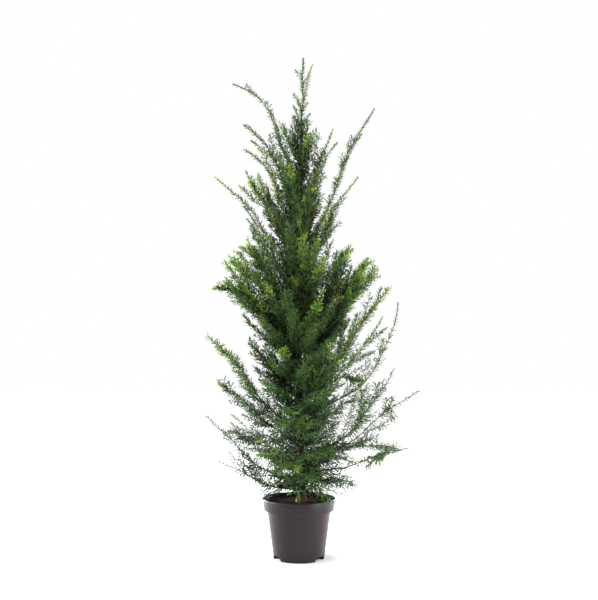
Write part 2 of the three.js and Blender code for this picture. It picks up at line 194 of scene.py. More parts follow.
pot_plastic, shader, nodes, link = grained_finish(
    "pressed grey-brown plastic", 0.4, 0.45, ((1, 1, 0.25), 9, 3), [(0.3, "21171b"), (0.7, "281d22")]
)
scuff = add_noise(nodes, link, (1, 1, 0.5), 24, 2, 0.5)
glossy, dull = (0.29, 0.29, 0.29, 1), (0.35, 0.35, 0.35, 1)
gloss = add_ramp(nodes, link, scuff, [(0.3, glossy), (0.7, dull)])
link(gloss, shader.inputs["Roughness"])
shader.inputs["Sheen Weight"].default_value = 0.25
shader.inputs["Sheen Roughness"].default_value = 0.35
shader.inputs["Sheen Tint"].default_value = linear("dccdd4")
skin = add_noise(nodes, link, (1, 1, 1), 900, 2)
add_bump(nodes, link, shader, skin, 0.00006)
pot.data.materials.append(pot_plastic)
# The inner wall of the pot gets a near-black finish, which is painted shade.
painted_shade_inside, *_ = grained_finish(
    "plastic darkened as painted shade", 0.75, 0.1, ((1, 1, 0.4), 60, 4), [(0.35, "0c0a0a"), (0.7, "1d1a1a")]
)
pot.data.materials.append(painted_shade_inside)
for face in pot.data.polygons:
    out = math.hypot(face.center.x, face.center.y)
    inward = face.normal.x * face.center.x + face.normal.y * face.center.y < -0.0002
    if inward and face.center.z > 0.012 and out > 0.07:
        face.material_index = 1
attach(pot, "root")
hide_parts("pot")


# ---- Compost ------------------------------------------------------------------------------
# Dark peat and fine bark that fill the pot to just under its lip, lumpy on top and slightly
# heaped round the stem, with loose crumbs and chips lying on it.

soil_level = 0.176
soil_edge = 0.1092
edge_level = soil_level - 0.002
soil_side = [(0.1062, 0.1565), (0.0960, 0.1500), (0.0830, 0.0560), (0.0780, 0.0170)]
soil_side += [(0.0760, 0.0160), (0.0585, 0.0155), (0.0572, 0.0140), (0.0568, 0.0036)]
surface_rings, ring_width = 34, 0.0030
stem_aside, heap_height, heap_spread = 0.012, 0.0030, 0.0018
bpy.ops.object.select_all(action="DESELECT")
bpy.ops.mesh.primitive_circle_add(
    vertices=120, radius=soil_edge, fill_type="NGON", location=(0, 0, edge_level)
)
soil = bpy.context.object
soil.name = "compost"
bpy.ops.object.mode_set(mode="EDIT")
bpy.ops.mesh.select_all(action="SELECT")
for _ in range(surface_rings):
    bpy.ops.mesh.inset(thickness=ring_width)
bpy.ops.mesh.poke()
bpy.ops.mesh.select_all(action="DESELECT")
bpy.ops.mesh.select_mode(type="EDGE")
bpy.ops.mesh.select_non_manifold()
draw_wall(rings_of([(soil_edge, edge_level)] + soil_side))
bpy.ops.mesh.edge_face_add()
close_mesh()


def layered(place):
    """Noise of four sizes on top of each other, about -1 to 1."""
    return noise.fractal(place, 0.6, 2.1, 4)


def heap(x, y):
    """How far the compost is heaped up round the stem, which stands a little to the right."""
    return heap_height * math.exp(-(((x - stem_aside) ** 2 + y * y) / heap_spread))


for vertex in soil.data.vertices:
    x, y, z = vertex.co
    if z > 0.16:
        inside = min(1, (soil_edge - math.hypot(x, y)) / 0.008)
        lumps = 0.0022 * layered(vertex.co * 55) + 0.0012 * layered(vertex.co * 190)
        vertex.co.z = edge_level + 0.001 * inside + heap(x, y) + inside * lumps


def mesh_of(name, spots, corners, finishes, finish_of_face=None):
    """One object from arrays of points in metres and of triangles."""
    mesh = bpy.data.meshes.new(name)
    count = len(corners)
    mesh.vertices.add(len(spots))
    mesh.vertices.foreach_set("co", np.ascontiguousarray(spots, np.float32).ravel())
    mesh.loops.add(3 * count)
    mesh.loops.foreach_set("vertex_index", np.ascontiguousarray(corners, np.int32).ravel())
    mesh.polygons.add(count)
    mesh.polygons.foreach_set("loop_start", np.arange(0, 3 * count, 3, dtype=np.int32))
    for finish in finishes:
        mesh.materials.append(finish)
    if finish_of_face is not None:
        mesh.polygons.foreach_set("material_index", np.asarray(finish_of_face, np.int32))
    mesh.update(calc_edges=True)
    mesh.validate()
    piece = bpy.data.objects.new(name, mesh)
    bpy.context.collection.objects.link(piece)
    return piece


def crumbs(count, seed):
    """Loose crumbs and short chips: squashed, turned and dented twenty-sided lumps."""
    bpy.ops.mesh.primitive_ico_sphere_add(subdivisions=1, radius=1)
    ball = bpy.context.object
    form = np.array([v.co[:] for v in ball.data.vertices])
    faces = np.array([p.vertices[:] for p in ball.data.polygons])
    bpy.data.objects.remove(ball)
    deal = np.random.default_rng(seed)
    spots, corners = [], []
    for k in range(count):
        out = (soil_edge - 0.006) * math.sqrt(deal.uniform(0.01, 1))
        turn = deal.uniform(0, 2 * math.pi)
        size = deal.uniform(0.0007, 0.0021) * (1.6 if k % 9 == 0 else 1)
        shape = np.array([deal.uniform(1, 2.4), deal.uniform(0.6, 1), deal.uniform(0.4, 0.8)])
        lump = form * deal.uniform(0.75, 1.2, (len(form), 1)) * shape * size
        swing, tilt = deal.uniform(0, 2 * math.pi), deal.uniform(-0.5, 0.5)
        lump = lump @ Matrix.Rotation(tilt, 3, "Y") @ Matrix.Rotation(-swing, 3, "Z")
        x, y = out * math.cos(turn), out * math.sin(turn)
        spots.append(lump + (x, y, soil_level - 0.001 + heap(x, y) + 0.3 * size))
        corners.append(faces + len(form) * k)
    return np.concatenate(spots), np.concatenate(corners)


black_browns = [(0.32, "070504"), (0.54, "130d0a"), (0.74, "38271c")]
peat, *_ = grained_finish("damp peat compost", 0.95, 0.2, ((1, 1, 1), 260, 6, 0.7), black_browns, 0.0012)
chip_browns = [(0.34, "150d08"), (0.55, "3a2417"), (0.7, "6b4a30")]
chip_wood, *_ = grained_finish("bark crumb", 0.9, 0.25, ((1, 1, 1), 120, 5, 0.6), chip_browns, 0.0008)

soil.data.materials.append(peat)
take_up(soil)
bpy.ops.object.shade_smooth_by_angle(angle=math.radians(60))
loose = mesh_of("compost_crumbs", *crumbs(count=1100, seed=3), [chip_wood])
for piece in (soil, loose):
    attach(piece, "root")
    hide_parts("soil")


# ---- Trunk --------------------------------------------------------------------------------
# One slim stem that bows a little to the left and weaves, with a flared foot at the compost.
# Its bark is thin and reddish brown, split by shallow furrows and lifting in small scales.

# Lengths of wood and needles are in mm, as in the solids, and their meshes are made in metres.
clearance = 0.3
trunk_foot = 171 + clearance
trunk_top = 1330
weave_length = 1329
foot_aside, top_aside, trunk_bow, trunk_weave = 12, 2, 13, 6
foot_radius, top_radius = 10.5, 3
flare, flare_height = 6, 16
up = np.array([0.0, 0.0, 1.0])


def blend(a, b, share):
    """From a at share 0 to b at share 1."""
    return a + (b - a) * share


def trunk_centre(height):
    """The stem's middle at a height: it bows to the left and weaves to front and back."""
    share = (height - trunk_foot) / weave_length
    x = foot_aside + top_aside * share - trunk_bow * math.sin(math.pi * share)
    return np.array([x, trunk_weave * math.sin(2 * math.pi * share), height])


def trunk_radius(height):
    """The stem's radius, with the flare of its foot."""
    share = min(1, max(0, (height - trunk_foot) / (trunk_top - trunk_foot)))
    stem = blend(foot_radius, top_radius, share**0.9)
    return stem + flare * math.exp((trunk_foot - height) / flare_height)


def bark_relief(x, y, z, girth):
    """How far bark stands out, in mm, at a point in mm: furrows along the stem and scales."""
    furrow = noise.noise(Vector((x / 3.2, y / 3.2, z / 34)))
    scale = noise.cell(Vector((x / 4.5 + 0.6 * furrow, y / 4.5, z / 15 + furrow)))
    grain = noise.noise(Vector((x / 1.3, y / 1.3, z / 7)))
    return min(1, girth / 9) * (0.75 * furrow + 0.3 * scale + 0.28 * grain)


trunk_steps = 150
levels = [blend(trunk_foot, trunk_top, (k / trunk_steps) ** 1.25) for k in range(trunk_steps + 1)]
trunk_rings = [(trunk_radius(level) / 1000, trunk_centre(level) / 1000) for level in levels]
radius, centre = trunk_rings[0]
bpy.ops.object.select_all(action="DESELECT")
bpy.ops.mesh.primitive_circle_add(vertices=34, radius=radius, fill_type="NGON", location=centre)
trunk = bpy.context.object
trunk.name = "trunk_bark"
bpy.ops.object.mode_set(mode="EDIT")
bpy.ops.mesh.select_all(action="SELECT")
draw_wall(trunk_rings)
close_mesh()
finer = trunk.modifiers.new("finer", "SUBSURF")
finer.levels = finer.render_levels = 1
bpy.ops.object.modifier_apply(modifier=finer.name)
for vertex in trunk.data.vertices:
    x, y, z = vertex.co * 1000
    centre = trunk_centre(z)
    ox, oy = x - centre[0], y - centre[1]
    out = math.hypot(ox, oy)
    if out > 0.3 and z > trunk_foot + 0.5:
        turn = math.atan2(oy, ox)
        buttress = 1.6 * math.exp((trunk_foot - z) / 18) * math.cos(5 * turn + 0.8)
        grown = (out + bark_relief(x, y, z, out) + buttress) / out
        vertex.co.x = (centre[0] + ox * grown) / 1000
        vertex.co.y = (centre[1] + oy * grown) / 1000
bpy.ops.object.shade_smooth()

reds = [(0.3, "2b1e18"), (0.45, "5a4033"), (0.58, "775748"), (0.74, "9c7d68")]
streak = ((1, 1, 0.16), 240, 6, 0.65)
bark, shader, nodes, link = grained_finish("scaly reddish bark", 0.85, 0.3, streak, reds)
flake = add_noise(nodes, link, (1, 1, 0.3), 520, 5, 0.6)
add_bump(nodes, link, shader, flake, 0.0007)
trunk.data.materials.append(bark)
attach(trunk, "root")
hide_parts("trunk")


# ---- Boughs -------------------------------------------------------------------------------
# The limbs leave the trunk by the same plan as the solids: thirty-one outer ones, four facing
# front and four facing back, six that clothe the trunk, and the leading shoot. Each is one
# tapering limb with a swollen foot, brown and scaly at first and green where it is younger.

# Name, height of its foot, bearing in degrees, reach, height of its tip, slopes at foot and tip
# in degrees, and the share of its length that the solids show as a bare bough.
outer_limbs = [
    ("arch_left", 1120, 172, 214, 1491, 77, 14, 0),
    ("spire_left", 1010, 200, 174, 1350, 75, 38, 0),
    ("crook_left", 940, 150, 196, 1290, 73, 24, 0),
    ("fresh_left", 880, 214, 196, 1203, 62, 58, 0),
    ("lash_left", 830, 178, 264, 1196, 64, 38, 0.25),
    ("plume_left", 760, 140, 208, 1052, 62, 34, 0),
    ("fan_left_high", 650, 228, 236, 976, 62, 42, 0),
    ("fan_left_mid", 610, 152, 252, 936, 60, 26, 0),
    ("fan_left_low", 590, 190, 262, 852, 52, 14, 0),
    ("tuft_left", 500, 214, 190, 680, 42, 40, 0),
    ("hook_left", 380, 172, 296, 692, 38, 36, 0.2),
    ("rake_left", 345, 196, 268, 562, 28, 44, 0.2),
    ("twin_left", 285, 146, 280, 408, 22, 32, 0),
    ("wand_left", 228, 186, 300, 449, 10, 46, 0.24),
    ("skirt_left", 212, 208, 286, 322, 8, 20, 0),
    ("rim_left", 240, 205, 148, 206, 14, -36, 0),
    ("rim_front", 226, 262, 120, 202, 12, -30, 0),
    ("whip_right", 915, 4, 238, 1411, 63, 52, 0.25),
    ("spire_right", 1060, 330, 118, 1336, 70, 66, 0),
    ("plume_right", 1000, 46, 124, 1268, 72, 62, 0),
    ("lash_right", 850, 338, 196, 1187, 62, 46, 0),
    ("fan_right_high", 650, 44, 220, 975, 58, 52, 0),
    ("fan_right_mid", 600, 336, 240, 930, 56, 44, 0),
    ("fan_right_low", 560, 12, 254, 895, 52, 34, 0),
    ("crest_right", 500, 344, 284, 848, 40, 54, 0.2),
    ("fork_right", 480, 34, 328, 752, 38, 46, 0.2),
    ("sickle_right", 440, 6, 312, 801, 22, 80, 0.2),
    ("sprig_right", 300, 24, 330, 588, 20, 60, 0.2),
    ("rake_right", 285, 352, 366, 529, 22, 30, 0.2),
    ("skirt_right", 262, 330, 362, 368, 6, 22, 0.24),
    ("rim_right", 226, 10, 178, 222, 24, -26, 0),
]


def unit(v):
    """One vector or many, made one long."""
    return v / np.linalg.norm(v, axis=-1, keepdims=True)


def heading(bearing, slope):
    """A direction from its bearing, 0 to the right and 90 to the back, and its slope."""
    b, s = math.radians(bearing), math.radians(slope)
    return np.array([math.cos(s) * math.cos(b), math.cos(s) * math.sin(b), math.sin(s)])


class Path:
    """A smooth line through many points, read by share of its length."""

    def __init__(self, points):
        self.points = np.asarray(points, float)
        steps = np.linalg.norm(np.diff(self.points, axis=0), axis=1)
        self.length = steps.sum()
        self.shares = np.concatenate([[0], np.cumsum(steps)]) / self.length

    def at(self, share):
        """The point at a share of the length, or many points."""
        return np.stack([np.interp(share, self.shares, self.points[:, a]) for a in range(3)], -1)

    def along(self, share):
        """The direction in which the line runs there."""
        share = np.asarray(share, float)
        ahead, behind = np.minimum(share + 0.02, 1), np.maximum(share - 0.02, 0)
        return unit(self.at(ahead) - self.at(behind))


def bezier(*corners):
    """A Bezier curve as points, from its three or four corners."""
    t = np.linspace(0, 1, 33)[:, None]
    rows = [np.asarray(c, float)[None, :] for c in corners]
    while len(rows) > 1:
        rows = [blend(a, b, t) for a, b in zip(rows, rows[1:])]
    return rows[0]


def limb_path(at, bearing, reach, top, leave, finish):
    """A limb's plain curve from the trunk, from one row of the plan."""
    start = trunk_centre(at)
    end = start + reach * heading(bearing, 0)
    end[2] = top
    span = np.linalg.norm(end - start)
    foot_pull = start + 0.4 * span * heading(bearing, leave)
    tip_pull = end - 0.35 * span * heading(bearing, finish)
    return Path(bezier(start, foot_pull, tip_pull, end))


def smooth(share):
    """A soft step from 0 to 1."""
    share = min(1, max(0, share))
    return share * share * (3 - 2 * share)


def even_limbs(names, count, heights, bearing_of, reach, rise, leave, finish):
    """Rows of the plan for limbs that change evenly from the lowest to the highest."""
    rows = []
    for k in range(count):
        share = (k + 0.5) / count
        at = blend(*heights, share)
        climb = smooth(share / 0.7)
        name = f"{names[k % len(names)]}_{k // len(names) + 1}"
        top = at + blend(*rise, climb)
        slopes = (blend(*leave, climb), blend(*finish, share))
        rows.append((name, at, bearing_of(k), blend(*reach, share), top, *slopes, 0))
    return rows


facing_shifts = (-20, 26, 10, 16)
facing = even_limbs(
    names=("front", "back"),
    count=8,
    heights=(258, 960),
    bearing_of=lambda k: (90 if k % 2 else 270) + facing_shifts[k // 2],
    reach=(258, 156),
    rise=(70, 320),
    leave=(16, 68),
    finish=(28, 58),
)
golden_angle = 137.5
column = even_limbs(
    names=("column",),
    count=6,
    heights=(205, 720),
    bearing_of=lambda k: 300 + golden_angle * k,
    reach=(112, 126),
    rise=(95, 250),
    leave=(34, 60),
    finish=(30, 60),
)
limbs = outer_limbs + facing + column
limb_paths = {row[0]: limb_path(*row[1:7]) for row in limbs}
leader_foot = trunk_centre(trunk_top)
leader_tip = np.array([14.0, 0.0, 1567.0])
leader_middle = blend(leader_foot, leader_tip, 0.5)
leader_middle[0] = 8
limb_paths["leader"] = Path(bezier(leader_foot, leader_middle, leader_tip))

# How far the middle of a limb bends aside from its plain curve, along X and up, in mm.
bows = {
    "arch_left": (-13, 2),
    "crook_left": (-12, 8),
    "lash_left": (2, -2),
    "hook_left": (-4, -3),
    "rake_left": (-8, 22),
    "twin_left": (0, 14),
    "wand_left": (-5, 12),
    "skirt_left": (-6, -5),
    "whip_right": (6, -4),
    "crest_right": (-2, 3),
    "fork_right": (12, -11),
    "sickle_right": (12, -6),
    "skirt_right": (0, 9),
}


def weave(path, lean, bow):
    """The same line bent by its bow, with a slight sway, and both none at its ends."""
    share = np.linspace(0, 1, 41)
    along = path.along(share)
    side = unit(np.cross(along, up))
    above = np.cross(side, along)
    size = min(5.0, 0.011 * path.length) * np.sin(math.pi * share) ** 0.7
    first = size * np.sin(2 * math.pi * (1.3 * share + lean))
    second = size * np.sin(2 * math.pi * (1.8 * share + 2.7 * lean))
    bent = np.sin(math.pi * share)[:, None] * [bow[0], 0, bow[1]]
    return Path(path.at(share) + bent + side * first[:, None] + above * second[:, None])


def new_store():
    """Room for the points, triangles and finishes of many tubes."""
    return {"spots": [], "corners": [], "finish": [], "count": 0}


def add_tube(store, path, shares, radii, sides, finishes, swell=None):
    """A closed tube along a path, drawn to a point at its end. It has a radius and the number of
    a finish for each ring, and swell(x, y, z, radius) adds relief in mm."""
    centres = path.at(shares)
    along = path.along(shares)
    ref = np.eye(3)[np.argmin(np.abs(along.mean(axis=0)))]
    side = unit(np.cross(along, ref))
    above = np.cross(side, along)
    turn = np.arange(sides) * 2 * math.pi / sides
    ring = np.cos(turn)[None, :, None] * side[:, None] - np.sin(turn)[None, :, None] * above[:, None]
    reach = np.repeat(np.asarray(radii, float)[:, None], sides, 1)
    if swell:
        for i, j in np.ndindex(reach.shape):
            spot = centres[i] + ring[i, j] * reach[i, j]
            reach[i, j] += swell(*spot, reach[i, j])
    spots = (centres[:, None] + ring * reach[..., None]).reshape(-1, 3)
    tip = centres[-1] + along[-1] * 1.6 * radii[-1]
    rings = len(shares)
    i = np.arange(rings - 1)[:, None] * sides
    j = np.arange(sides)[None]
    a, b = i + j, i + (j + 1) % sides
    wall = np.stack([np.stack([a, b, b + sides], -1), np.stack([a, b + sides, a + sides], -1)], 2)
    foot = [[0, k + 1, k] for k in range(1, sides - 1)]
    last = (rings - 1) * sides
    end = [[last + k, last + (k + 1) % sides, rings * sides] for k in range(sides)]
    finishes = np.broadcast_to(finishes, rings)
    ends = [np.full(len(foot), finishes[0]), np.full(sides, finishes[-1])]
    store["spots"].append(np.concatenate([spots, [tip]]) / 1000)
    store["corners"].append(np.concatenate([wall.reshape(-1, 3), foot, end]) + store["count"])
    store["finish"].append(np.concatenate([np.repeat(finishes[:-1], 2 * sides), *ends]))
    store["count"] += len(spots) + 1


def tubes_of(name, store, finishes):
    """One object from all the tubes in a store."""
    spots, corners, finish = (np.concatenate(store[part]) for part in ("spots", "corners", "finish"))
    return mesh_of(name, spots, corners, finishes, finish)


def limb_radius(length, share):
    """The radius that the solids give to a limb."""
    return blend(1.9 + 0.0034 * length, 1.4, share**0.8)


def bark_knobs(x, y, z, radius):
    """Slight knobs on a limb, in mm, in step with its radius."""
    return 0.05 * radius * bark_relief(x, y, z, 9)


streak = ((1, 1, 0.3), 200, 5, 0.65)
browns = [(0.3, "2b2119"), (0.5, "4c3b2b"), (0.72, "75604a")]
limb_bark, *_ = grained_finish("dull brown limb bark", 0.85, 0.25, streak, browns, 0.0006)
streak = ((1, 1, 0.3), 180, 4, 0.6)
olives = [(0.3, "5a5a30"), (0.55, "807f47"), (0.75, "9d935c")]
young_bark, *_ = grained_finish("olive green young bark", 0.7, 0.35, streak, olives, 0.0003)

for number, (name, path) in enumerate(limb_paths.items()):
    limb_paths[name] = weave(path, 0.37 * number, bows.get(name, (0, 0)))
wood = new_store()
for name, path in limb_paths.items():
    shares = np.linspace(0, 1, 72)
    if name == "leader":
        radii = blend(3.0, 0.7, shares)
        brown_until = 0.1
    else:
        collar = 1.6 * np.exp(-shares * path.length / 9)
        radii = 0.9 * limb_radius(path.length, shares) * (1 - 0.55 * shares**1.5) + collar
        brown_until = 0.38 if path.at(0)[2] < 480 else 0.16
    add_tube(wood, path, shares, radii, 10, np.where(shares < brown_until, 0, 1), bark_knobs)

boughs = tubes_of("boughs_bark", wood, [limb_bark, young_bark])
take_up(boughs)
bpy.ops.object.shade_smooth()
bough_nodes = [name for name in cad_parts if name.startswith("bough_")]
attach(boughs, "root")
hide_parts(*bough_nodes)


# ---- Twigs and needles --------------------------------------------------------------------
# Side shoots leave each limb by the solids' own rule, and finer twigs grow between and on them.
# Every twig ends in a bud and carries narrow pointed needles, flat below with a raised rib.

# The name of each tone, its web colour and its roughness. The near-black shade tones serve as painted
# shade inside the crown, and as random darker needles.
tones = [
    ("needle shade", "091412", 0.52),
    ("needle deep green", "132c20", 0.48),
    ("needle green", "2a5029", 0.46),
    ("needle light green", "588238", 0.46),
    ("needle blue shade", "0a1210", 0.52),
    ("needle blue green", "1f3827", 0.48),
    ("needle grey green", "4c7347", 0.48),
    ("needle fresh", "64982f", 0.48),
    ("needle lime", "9cc242", 0.50),
    ("needle olive", "646c31", 0.48),
    ("underside pale", "587a41", 0.60),
    ("underside blue", "53754b", 0.60),
    ("underside fresh", "93b94a", 0.60),
    ("twig green", "7c9049", 0.60),
    ("twig fresh", "aead55", 0.60),
    ("bud scale", "7a6a38", 0.60),
]
palette = []
for name, code, roughness in tones:
    finish, shader, *_ = new_finish(name, roughness, 0.25)
    shader.inputs["Base Color"].default_value = linear(code)
    palette.append(finish)
SHADE, DEEP, GREEN, LIGHT, BLUE_SHADE, BLUE, GREY, FRESH, LIME, OLIVE = range(10)
PALE, PALE_BLUE, PALE_FRESH, TWIG, TWIG_FRESH, BUD = range(10, 16)
twig_finishes = [palette[TWIG], palette[TWIG_FRESH], bark, palette[BUD]]
PLAIN_TWIG, FRESH_TWIG, BROWN_TWIG, TWIG_BUD = range(4)
# Undersides are paler, as on real needles, but under the near-black painted shade tones they are a
# darker green.
underside_of = np.array(
    [GREEN, PALE, PALE, PALE, BLUE, PALE_BLUE, PALE_BLUE, PALE_FRESH, PALE_FRESH, PALE]
)
brighter_than = np.array([DEEP, GREEN, LIGHT, LIGHT, BLUE, GREY, GREY, LIME, LIME, LIGHT])
darker_than = np.array(
    [SHADE, SHADE, DEEP, GREEN, BLUE_SHADE, BLUE_SHADE, BLUE, LIGHT, FRESH, GREEN]
)

# Each needle stands this many radians on from the last round its shoot. This year's growth
# starts at a share of a shoot's length, and one that has none gets a share past its tip.
needle_turn = 2.39996
never = 2.0

# A needle's six corners, as shares of its length and width, and its eight faces: a narrow foot,
# a blade widest past its middle, a pointed tip, and a rib raised above the flat underside.
blade_along = np.array([0, 0, 0.72, 0.72, 1.0, 0.4])
blade_across = np.array([-0.24, 0.24, 0.5, -0.5, 0.0, 0.0])
blade_rise = np.array([0, 0, 0, 0, 0, 0.3])
blade_top = [(5, 0, 1), (5, 1, 2), (5, 2, 4), (5, 4, 3), (5, 3, 0)]
blade_under = [(0, 2, 1), (0, 3, 2), (3, 4, 2)]
blade_corners = np.array(blade_top + blade_under)


def random_run(seed):
    """The solids' own seeded run of numbers between 0 and 1."""
    state = seed * 2654435761 % 4294967296
    while True:
        state = (state * 1664525 + 1013904223) % 4294967296
        yield state / 4294967296


def shoot_path(stem, share, side, roll, leave, length, lift, nod=0.0):
    """A side shoot's line: it leaves to one side, rolled up or down, then lifts, and may nod."""
    start = stem.at(share)
    along = stem.along(share)
    across = unit(np.cross(along, up))
    above = np.cross(across, along)
    roll, leave = math.radians(roll), math.radians(leave)
    out = across * side * math.cos(roll) + above * math.sin(roll)
    first = along * math.cos(leave) + out * math.sin(leave)
    middle = start + first * length / 2
    second = unit(first + up * lift)
    if not nod:
        return Path(bezier(start, middle, middle + second * length / 2))
    bend = middle + second * length * 0.3
    outward = unit(middle * (1, 1, 0))
    end = bend + unit(second + (outward - up * 0.7) * nod) * length * 0.2
    return Path(bezier(start, middle, bend, end))


class Grove:
    """Collects the needles and twigs of one part of the crown."""

    def __init__(self, seed):
        self.deal = np.random.default_rng(seed)
        self.rows = []
        self.twigs = new_store()

    def needles(self, path, start, length, pitch, width, flat, tone, fresh_from=never, droop=0.0):
        """Needles along a path from a share of it to its tip. With flat 0 they stand all round,
        and with flat 1 in two rows. Past fresh_from they are this year's, short and bright."""
        deal = self.deal
        count = int(path.length * (1 - start) / pitch)
        if count < 2:
            return
        shares = start + (1 - start) * (np.arange(count) + deal.uniform(0, 0.8, count)) / count
        shares = np.minimum(shares, 0.995)
        roots, along = path.at(shares), path.along(shares)
        level = unit(np.cross(along, up) + 1e-6)
        rise = np.cross(level, along)
        roll = deal.normal(0, 0.75)
        across = level * math.cos(roll) + rise * math.sin(roll)
        above = np.cross(across, along)
        turn = np.arange(count) * needle_turn + deal.uniform(-0.5, 0.5, count)
        two_rows = np.where(np.arange(count) % 2, 1.0, -1.0) + deal.normal(0, 0.1, count)
        sideways = blend(np.cos(turn), two_rows, flat)
        upright = np.sin(turn) * (1 - flat) + deal.normal(0.14, 0.2, count)
        out = unit(across * sideways[:, None] + above * upright[:, None])
        lean = np.radians(blend(62, 30, shares**2) + deal.normal(0, 9, count))[:, None]
        pointing = unit(along * np.cos(lean) + out * np.sin(lean) - up * droop)
        round_top = along * np.sin(lean) - out * np.cos(lean)
        top = above * flat + round_top * (1 - flat) + deal.normal(0, 0.25, (count, 3))
        cross = unit(np.cross(top, pointing))
        top = np.cross(pointing, cross)
        near_tip = np.clip((shares - 0.75) / 0.25, 0, 1) ** 1.5
        taper = np.minimum(1, 0.75 + 2 * shares) * blend(1.0, 0.5, near_tip)
        size = length * taper * deal.uniform(0.8, 1.12, count)
        # Needles step a tone at random, more often brighter towards the tip; near the shoot's foot they
        # are darker, as painted shade.
        pick = deal.random(count)
        mixed = np.where(pick > 0.78 - 0.15 * shares, brighter_than[tone], tone)
        mixed = np.where(pick < 0.2, darker_than[tone], mixed)
        mixed = np.where(shares < deal.uniform(0.1, 0.5, count), darker_than[tone], mixed)
        new = shares > fresh_from + deal.normal(0, 0.04, count)
        lime = deal.random(count) < 0.2 + 1.1 * (shares - fresh_from)
        mixed = np.where(new, np.where(lime, LIME, FRESH), mixed)
        size = np.where(new, size * 0.9, size)
        self.rows.append((roots, pointing, cross, top, size, np.full(count, width), mixed))

    def twig(self, path, base, tip, finish, sides=3, rings=4, brown=0):
        """A thin tapering twig with a small fat bud at its end, its first few rings brown."""
        bud = 1.6 / path.length
        shares = np.append(np.linspace(0, 1 - bud, rings), 1.0)
        finishes = [BROWN_TWIG] * brown + [finish] * (rings - 1 - brown) + [TWIG_BUD] * 2
        radii = np.append(np.linspace(base, tip, rings), 1.7 * tip)
        add_tube(self.twigs, path, shares, radii, sides, finishes)

    def blades(self):
        """Every needle's points, triangles and tones, as arrays."""
        columns = [np.concatenate(column) for column in zip(*self.rows)]
        roots, pointing, cross, top, size, width, tone = columns
        bow = self.deal.normal(0.05, 0.06, len(size))
        sickle = self.deal.normal(0, 0.06, len(size))
        along = blade_along[None, :] * size[:, None]
        curl = blade_along[None] ** 2 * size[:, None]
        across = blade_across[None] * width[:, None] + sickle[:, None] * curl
        rise = blade_rise[None] * width[:, None] - bow[:, None] * curl
        spots = (
            roots[:, None]
            + along[..., None] * pointing[:, None]
            + across[..., None] * cross[:, None]
            + rise[..., None] * top[:, None]
        )
        corners = blade_corners[None] + len(blade_along) * np.arange(len(size))[:, None, None]
        under = np.repeat(underside_of[tone][:, None], len(blade_under), 1)
        faces = np.concatenate([np.repeat(tone[:, None], len(blade_top), 1), under], 1)
        return spots.reshape(-1, 3) / 1000, corners.reshape(-1, 3), faces.ravel()


# For each kind of limb: finer shoots for each 100 mm, the share of its length past which it has
# none, their greatest and least length, and the share of them that end in this year's growth.
habits = {
    "arch": (5, 0.32, 54, 24, 0.1),
    "spire": (7, 0.70, 70, 30, 0.35),
    "crook": (7, 0.68, 70, 30, 0.4),
    "fresh": (9, 0.88, 66, 36, 0.7),
    "lash": (5.5, 0.36, 46, 24, 0.3),
    "plume": (8, 0.85, 66, 32, 0.25),
    "plume_right": (6, 0.8, 44, 26, 0.2),
    "fan": (11, 0.92, 118, 46, 0.75),
    "tuft": (9, 0.92, 84, 40, 0.15),
    "hook": (9, 0.88, 66, 34, 0.5),
    "rake": (6, 0.72, 80, 28, 0.05),
    "twin": (5.5, 0.75, 80, 30, 0.05),
    "wand": (1.2, 0.4, 44, 22, 0.0),
    "skirt": (2, 0.5, 50, 24, 0.0),
    "rim": (5, 0.9, 44, 24, 0.3),
    "rim_left": (3, 0.9, 28, 18, 0.0),
    "whip": (5, 0.3, 36, 22, 0.2),
    "crest": (6, 0.80, 46, 24, 0.5),
    "fork": (4.5, 0.62, 50, 24, 0.15),
    "sickle": (3, 0.45, 44, 22, 0.2),
    "sprig": (4, 0.46, 70, 28, 0.03),
    "rake_right": (3, 0.55, 52, 26, 0.0),
    "rake_left": (7, 0.92, 54, 30, 0.05),
    "front": (10, 0.95, 135, 52, 0.3),
    "back": (10, 0.95, 130, 52, 0.2),
    "column": (11, 0.95, 120, 55, 0.1),
}

# Limbs whose shoots hang more or less than their height gives, in degrees.
hanging = {"hook_left": 30, "rake_left": 0, "skirt_left": 0, "wand_left": 0}

